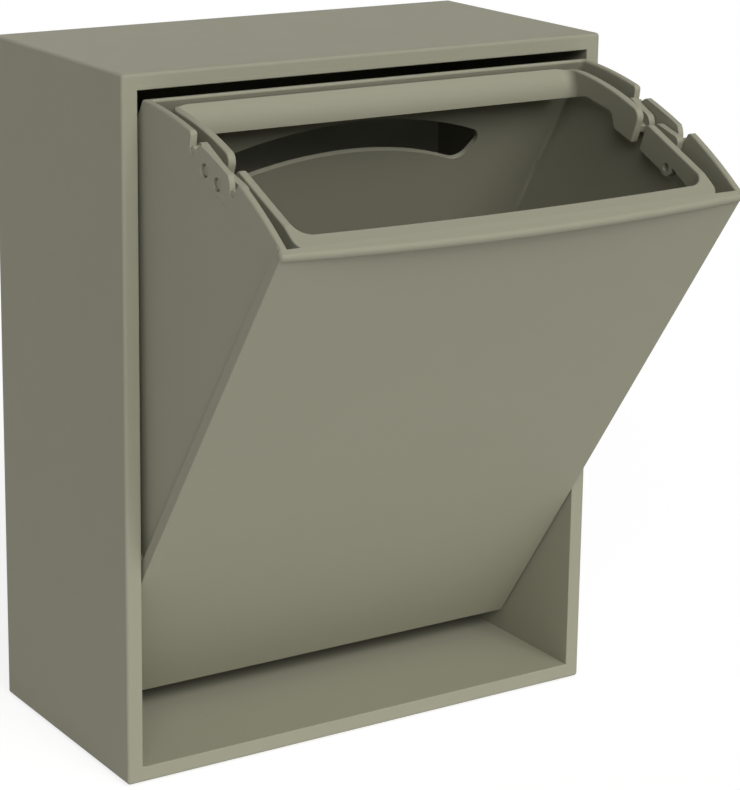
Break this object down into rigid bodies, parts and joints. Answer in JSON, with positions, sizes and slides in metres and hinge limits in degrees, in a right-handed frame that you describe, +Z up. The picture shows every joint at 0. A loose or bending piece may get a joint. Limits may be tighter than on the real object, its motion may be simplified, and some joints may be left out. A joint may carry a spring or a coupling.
{
  "type": "tilt-out recycling bin",
  "caption": "Open-front case with a container that tilts forward on two low pivots and a hinged bag frame in its mouth, for sorted waste.",
  "frame": {"origin": "on the ground, under the middle of the case", "axes": "+X to the right as seen from the front, +Y to the wall behind, +Z up"},
  "size_m": [0.32, 0.3136, 0.4115],
  "materials": {
    "case_plastic": "fine matt moulding texture",
    "container_plastic": "fine matt moulding texture",
    "frame_plastic": "smooth satin moulding",
    "rubber": "matt black rubber",
    "steel": "zinc-plated",
    "brass": "turned",
    "nylon": "natural nylon"
  },
  "bodies": {
    "case": {"back_panel": "case_plastic", "back_panel_screws": "steel", "closing_buffer_left": "rubber", "closing_buffer_right": "rubber", "foot_front_left": "rubber", "foot_front_right": "rubber", "foot_rear_left": "rubber", "foot_rear_right": "rubber", "outer_case": "case_plastic", "pivot_insert_left": "brass", "pivot_insert_right": "brass", "pivot_screw_left": "steel", "pivot_screw_right": "steel", "stop_buffer_left": "rubber", "stop_buffer_right": "rubber"},
    "container": {"container": "container_plastic", "pivot_bush_left": "nylon", "pivot_bush_right": "nylon"},
    "rear_frame": {"bag_frame_rear": "frame_plastic"},
    "front_frame": {"bag_frame_front": "frame_plastic"},
    "tab_left": {"release_tab_left": "container_plastic"},
    "tab_right": {"release_tab_right": "container_plastic"}
  },
  "joints": [
    {"name": "container_tilt", "type": "hinge", "parent": "case", "child": "container", "pos_m": [0, -0.0664, 0.1298], "axis": [1, 0, 0], "range_deg": [-34.5, 0]},
    {"name": "rear_frame_swing", "type": "hinge", "parent": "container", "child": "rear_frame", "pos_m": [0, -0.1489, 0.37045], "axis": [1, 0, 0], "range_deg": [0, 60]},
    {"name": "front_frame_swing", "type": "hinge", "parent": "container", "child": "front_frame", "pos_m": [0, -0.16201, 0.36554], "axis": [-1, 0, 0], "range_deg": [0, 60]},
    {"name": "tab_left_flex", "type": "hinge", "parent": "container", "child": "tab_left", "pos_m": [-0.1483, -0.15343, 0.36256], "axis": [0, -0.9367, -0.3502], "range_deg": [0, 14], "stiffness_Nm_per_rad": 0.4},
    {"name": "tab_right_flex", "type": "hinge", "parent": "container", "child": "tab_right", "pos_m": [0.1483, -0.15343, 0.36256], "axis": [0, 0.9367, 0.3502], "range_deg": [0, 14], "stiffness_Nm_per_rad": 0.4}
  ]
}
